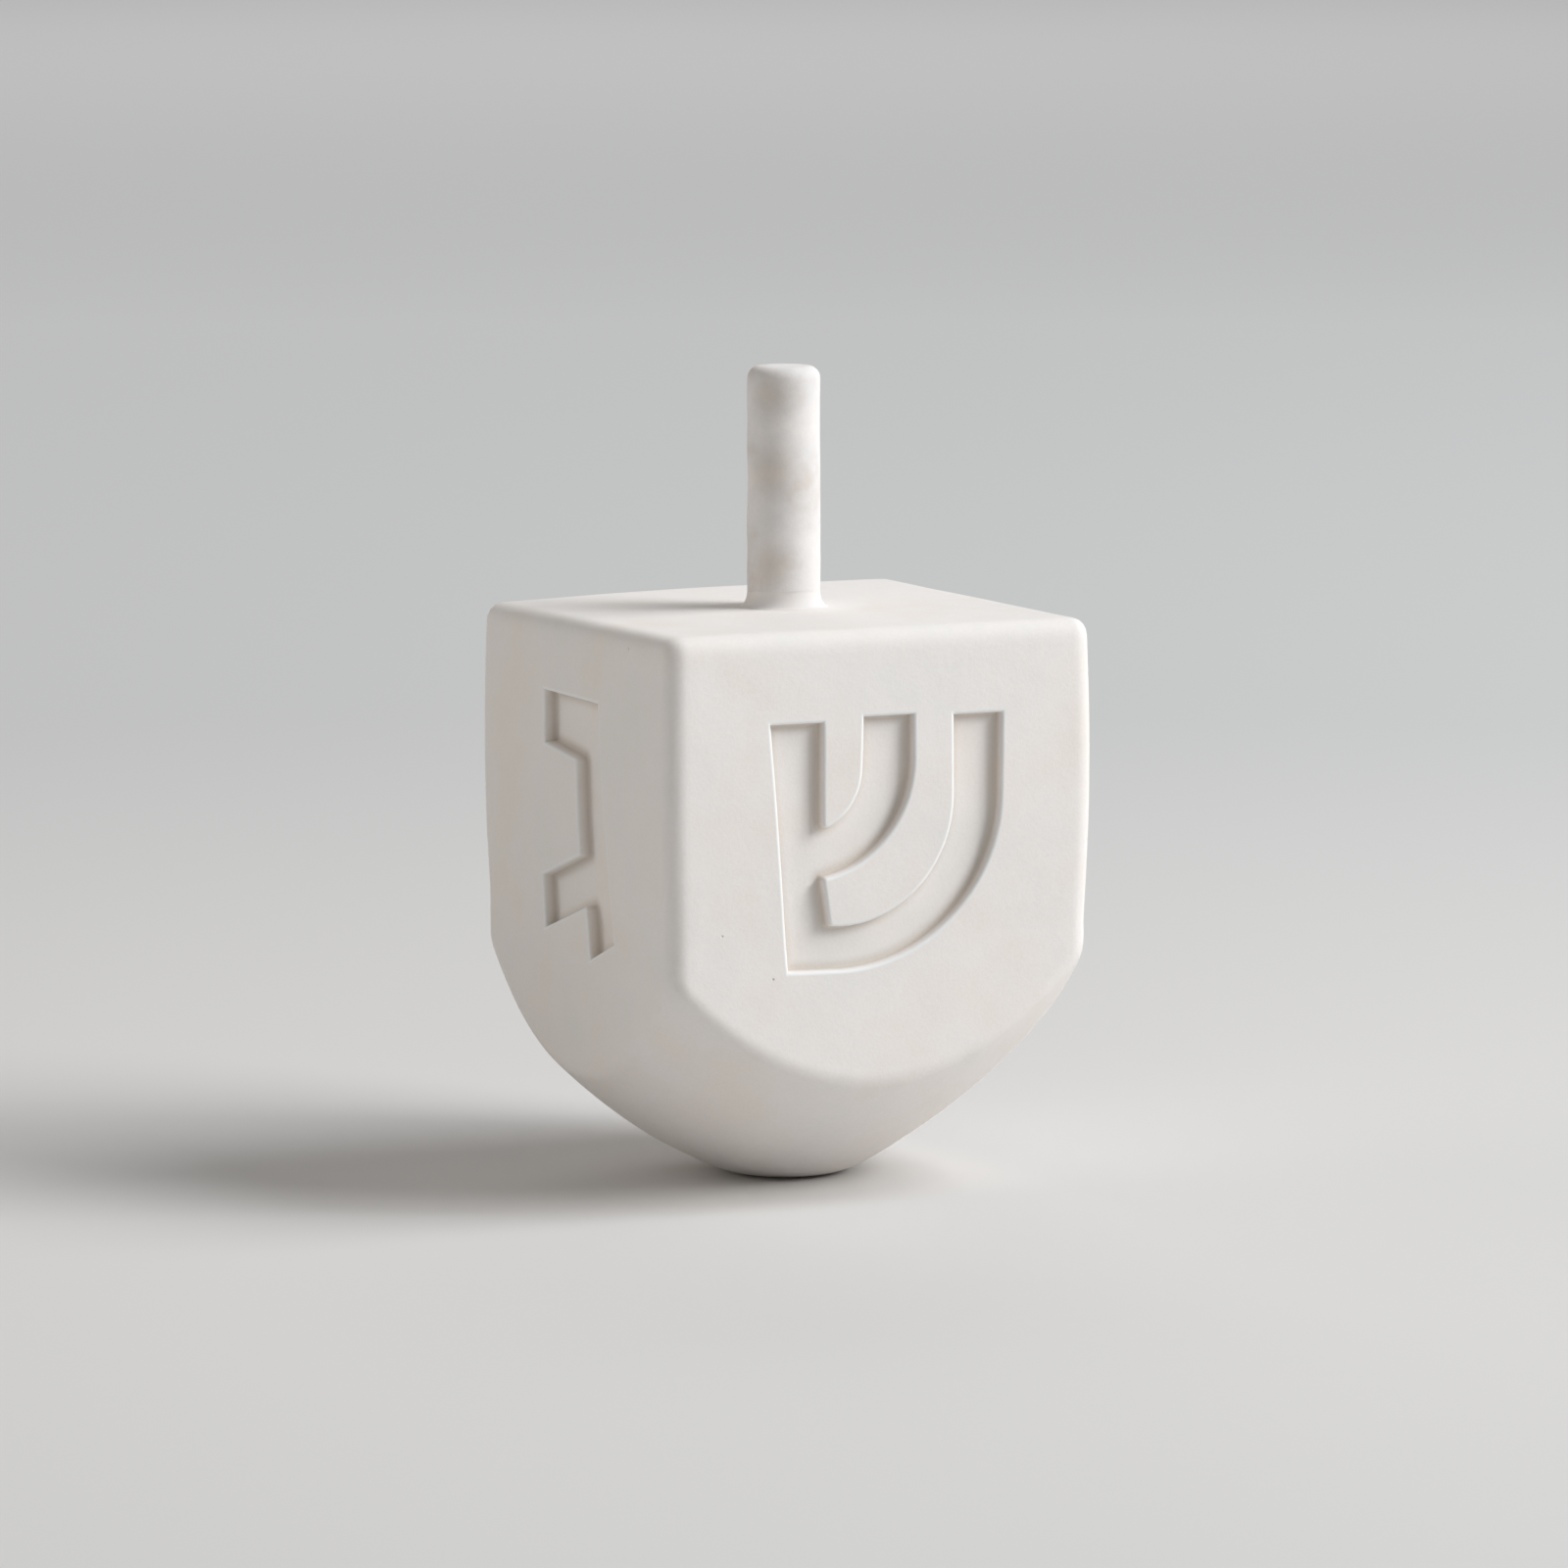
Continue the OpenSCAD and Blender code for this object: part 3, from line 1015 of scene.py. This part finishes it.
class DREIDEL_OT_cast_body(bpy.types.Operator):
    """Makes the cast body with its four sunk marks, its dome and the hollow inside"""

    bl_idname = "dreidel.cast_body"
    bl_label = "Cast Body"

    def execute(self, context):
        shape, finish = context.scene.dreidel_shape, context.scene.dreidel_finish
        points, faces, painted_lights = body_mesh(shape)
        body = mesh_object("cast_body", points, faces)
        # This attribute carries the painted shade and painted highlight of the marks, and the soiling and
        # painted contact shade round the foot
        body.data.attributes.new("painted_light", "FLOAT", "POINT").data.foreach_set("value", painted_lights)
        # Cast in plaster, which draws out the water and leaves the clay even, then wiped with a sponge
        clay = bisque("Sponged slip-cast bisque", finish, finish.clay, finish.clay_warm, finish.clay_cool)
        dress(body, "bisque_body", clay, "body")
        return {"FINISHED"}


class DREIDEL_OT_roll_stem(bpy.types.Operator):
    """Makes the finger stem, rolled by hand, with its tenon"""

    bl_idname = "dreidel.roll_stem"
    bl_label = "Roll Stem"

    def execute(self, context):
        finish = context.scene.dreidel_finish
        stem = turned("rolled_stem", stem_outline(), wobble=0.08, seed=3)
        # Rolled between the fingers, which leaves closer clouds and a few smudges; the smudges also paint
        # shade on its shaded side
        clay = bisque(
            "Hand-rolled bisque", finish, finish.stem_clay, finish.clay_handled, finish.clay,
            cloud_size=5, smudges_and_shade=STEM_SMUDGES_AND_SHADE,
        )
        dress(stem, "bisque_stem", clay, "stem")
        return {"FINISHED"}


class DREIDEL_OT_brush_slip(bpy.types.Operator):
    """Makes the layer of slip that joins the stem, with the bead that shows round its base"""

    bl_idname = "dreidel.brush_slip"
    bl_label = "Brush Slip"

    def execute(self, context):
        finish = context.scene.dreidel_finish
        bead = turned("slip_bead", bead_outline())
        # Brushed on wet and wiped with a finger, so it is finer than the cast clay and has no pinholes
        slip = bisque(
            "Wiped fired slip", finish, finish.stem_clay, finish.clay_warm, finish.clay,
            grain=0.6, pinholes=False,
        )
        dress(bead, "fired_slip", slip, "stem_slip")
        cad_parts["plug_slip"].material_slots[0].material = slip
        return {"FINISHED"}


class DREIDEL_OT_set_plug(bpy.types.Operator):
    """Finishes the plug in the foot, rubbed smoother where it spins"""

    bl_idname = "dreidel.set_plug"
    bl_label = "Set Plug"

    def execute(self, context):
        finish = context.scene.dreidel_finish
        # Rubbed on the table as it spins, so it is a little smoother
        clay = bisque(
            "Rubbed bisque plug", finish, finish.clay_warm, finish.clay, finish.clay_cool,
            roughness=0.7, grain=0.8,
        )
        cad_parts["foot_plug"].material_slots[0].material = clay
        return {"FINISHED"}


class DREIDEL_OT_set_studio(bpy.types.Operator):
    """Lays the pale floor, whose far part stands as the backdrop, and places the lamps and the camera"""

    bl_idname = "dreidel.set_studio"
    bl_label = "Set Studio"

    def execute(self, context):
        studio = context.scene.dreidel_studio
        lay_floor(studio)
        hang_lamps(studio)
        place_camera()
        return {"FINISHED"}


# Where the camera stands: its turn to the left of the front face, its height angle and its distance. Then
# the height of what it looks at, how far right of the axis that lies, and the camera's focal length.
CAMERA_TURN = math.radians(25.2)
CAMERA_TILT = math.radians(7.008)
CAMERA_FAR = 800
CAMERA_AIM_H = 34.43
CAMERA_AIM_SIDE = 0.03
CAMERA_LENS = 208.4
# The lamps round the dreidel: the turn from the front face towards the right one, the height angle and the
# size. All three are equally far from the one point that they face.
KEY_LOW = (50, 30, 700)
KEY_LOW_COLOUR = (0.98, 0.99, 1)
KEY_HIGH = (70, 50, 700)
KEY_HIGH_COLOUR = (0.93, 0.965, 1)
BOUNCE = (-120, 15, 1800)
BOUNCE_COLOUR = (1, 0.94, 0.86)
LAMP_FAR = 1400
LAMP_AIM = Vector((0, 0, 30))
# The lamp over the far floor: how far behind the dreidel it hangs, how high and how wide it is
FAR_LAMP = (2500, 1600, 1500)
# Half width of the floor, and the distances over which its colour changes, painting the light's fall-off:
# darker beyond the dreidel, lighter again far away
FLOOR_REACH = 8000
FLOOR_NEAR = (60, 400)
FLOOR_AWAY = (350, 1050)


def lay_floor(studio):
    """One wide sheet of matt paper under the dreidel. The light's fall-off is painted into its colour
    evenly on all sides: painted shade beyond the dreidel, painted light far away.
    """
    corners = [(-1, -1), (1, -1), (1, 1), (-1, 1)]
    points = [(x * FLOOR_REACH, y * FLOOR_REACH, 0) for x, y in corners]
    floor = mesh_object("studio_floor", points, [(0, 1, 2, 3)])
    material = bpy.data.materials.new("Matt background paper")
    material.use_nodes = True
    tree = material.node_tree
    tree.nodes.clear()
    place = add_node(tree, "ShaderNodeTexCoord").outputs["Object"]
    away = add_node(tree, "ShaderNodeVectorMath", {0: place}, operation="LENGTH").outputs["Value"]
    colour = tuple(studio.floor) + (1,)
    for (start, end), far_colour, blend in (
        (FLOOR_NEAR, studio.floor_painted_shade, "SMOOTHSTEP"),
        (FLOOR_AWAY, studio.floor_far_painted_light, "LINEAR"),
    ):
        share = add_node(
            tree,
            "ShaderNodeMapRange",
            {"Value": away, "From Min": start * MM, "From Max": end * MM},
            interpolation_type=blend,
        ).outputs["Result"]
        colour = add_node(
            tree, "ShaderNodeMix", {0: share, 6: colour, 7: (*far_colour, 1)}, data_type="RGBA"
        ).outputs[2]
    shader = add_node(
        tree,
        "ShaderNodeBsdfPrincipled",
        {"Base Color": colour, "Roughness": 0.9, "Specular IOR Level": 0.1},
    )
    add_node(tree, "ShaderNodeOutputMaterial", {"Surface": shader.outputs["BSDF"]})
    floor.data.materials.append(material)


def hang_lamp(name, place, aim, size, power, colour=(1, 1, 1)):
    """A round soft lamp that faces the point it is aimed at."""
    light = bpy.data.lights.new(name, "AREA")
    light.shape = "DISK"
    light.size = size * MM
    light.energy = power
    light.color = colour
    lamp = bpy.data.objects.new(name, light)
    lamp.location = place * MM
    lamp.rotation_euler = (place - aim).to_track_quat("Z", "Y").to_euler()
    bpy.context.scene.collection.objects.link(lamp)


def hang_lamps(studio):
    """A tall soft key from the right, made by two lamps, with weak light from behind and from all round."""
    for name, (turn, tilt, size), power, colour in (
        ("key_low", KEY_LOW, studio.key_low, KEY_LOW_COLOUR),
        ("key_high", KEY_HIGH, studio.key_high, KEY_HIGH_COLOUR),
        ("bounce", BOUNCE, studio.bounce, BOUNCE_COLOUR),
    ):
        turn, tilt = math.radians(turn), math.radians(tilt)
        level = math.cos(tilt)
        toward = Vector((math.sin(turn) * level, -math.cos(turn) * level, math.sin(tilt)))
        hang_lamp(name, LAMP_AIM + toward * LAMP_FAR, LAMP_AIM, size, power, colour)
    behind, high, size = FAR_LAMP
    place = Vector((math.sin(CAMERA_TURN) * behind, math.cos(CAMERA_TURN) * behind, high))
    hang_lamp("far_lamp", place, Vector((place.x, place.y, 0)), size, studio.far)
    world = bpy.data.worlds.new("studio_air")
    world.use_nodes = True
    tree = world.node_tree
    tree.nodes.clear()
    air = add_node(tree, "ShaderNodeBackground", {"Color": (1, 1, 1, 1), "Strength": studio.air})
    add_node(tree, "ShaderNodeOutputWorld", {"Surface": air.outputs["Background"]})
    bpy.context.scene.world = world


def place_camera():
    """The photograph's view: a long lens from the front left, slightly above."""
    ahead = Vector((
        math.sin(CAMERA_TURN) * math.cos(CAMERA_TILT),
        math.cos(CAMERA_TURN) * math.cos(CAMERA_TILT),
        -math.sin(CAMERA_TILT),
    ))
    right = Vector((math.cos(CAMERA_TURN), -math.sin(CAMERA_TURN), 0))
    aim = right * CAMERA_AIM_SIDE + Vector((0, 0, CAMERA_AIM_H))
    lens = bpy.data.cameras.new("camera")
    lens.lens = CAMERA_LENS
    lens.sensor_width = 36
    lens.clip_end = 20
    camera = bpy.data.objects.new("camera", lens)
    camera.location = (aim - ahead * CAMERA_FAR) * MM
    camera.rotation_euler = ahead.to_track_quat("-Z", "Y").to_euler()
    bpy.context.scene.collection.objects.link(camera)
    bpy.context.scene.camera = camera


class DREIDEL_PT_panel(bpy.types.Panel):
    """Lists the dreidel's sizes, its colours and the steps that make it"""

    bl_idname = "DREIDEL_PT_panel"
    bl_label = "Bisque Dreidel"
    bl_space_type = "VIEW_3D"
    bl_region_type = "UI"
    bl_category = "Dreidel"

    def draw(self, context):
        layout = self.layout
        scene = context.scene
        for group in (scene.dreidel_shape, scene.dreidel_finish, scene.dreidel_studio):
            box = layout.box()
            for name in group.__annotations__:
                box.prop(group, name)
        for step in STEPS:
            layout.operator(step.bl_idname)


STEPS = [
    DREIDEL_OT_cast_body,
    DREIDEL_OT_roll_stem,
    DREIDEL_OT_brush_slip,
    DREIDEL_OT_set_plug,
    DREIDEL_OT_set_studio,
]
CLASSES = [DreidelShape, DreidelFinish, DreidelStudio, *STEPS, DREIDEL_PT_panel]


def register():
    for cls in CLASSES:
        bpy.utils.register_class(cls)
    bpy.types.Scene.dreidel_shape = bpy.props.PointerProperty(type=DreidelShape)
    bpy.types.Scene.dreidel_finish = bpy.props.PointerProperty(type=DreidelFinish)
    bpy.types.Scene.dreidel_studio = bpy.props.PointerProperty(type=DreidelStudio)


def unregister():
    del bpy.types.Scene.dreidel_studio
    del bpy.types.Scene.dreidel_finish
    del bpy.types.Scene.dreidel_shape
    for cls in reversed(CLASSES):
        bpy.utils.unregister_class(cls)


def main():
    register()
    bpy.context.scene.view_settings.view_transform = "Standard"
    bpy.ops.dreidel.cast_body()
    bpy.ops.dreidel.roll_stem()
    bpy.ops.dreidel.brush_slip()
    bpy.ops.dreidel.set_plug()
    bpy.ops.dreidel.set_studio()


if __name__ == "__main__":
    main()
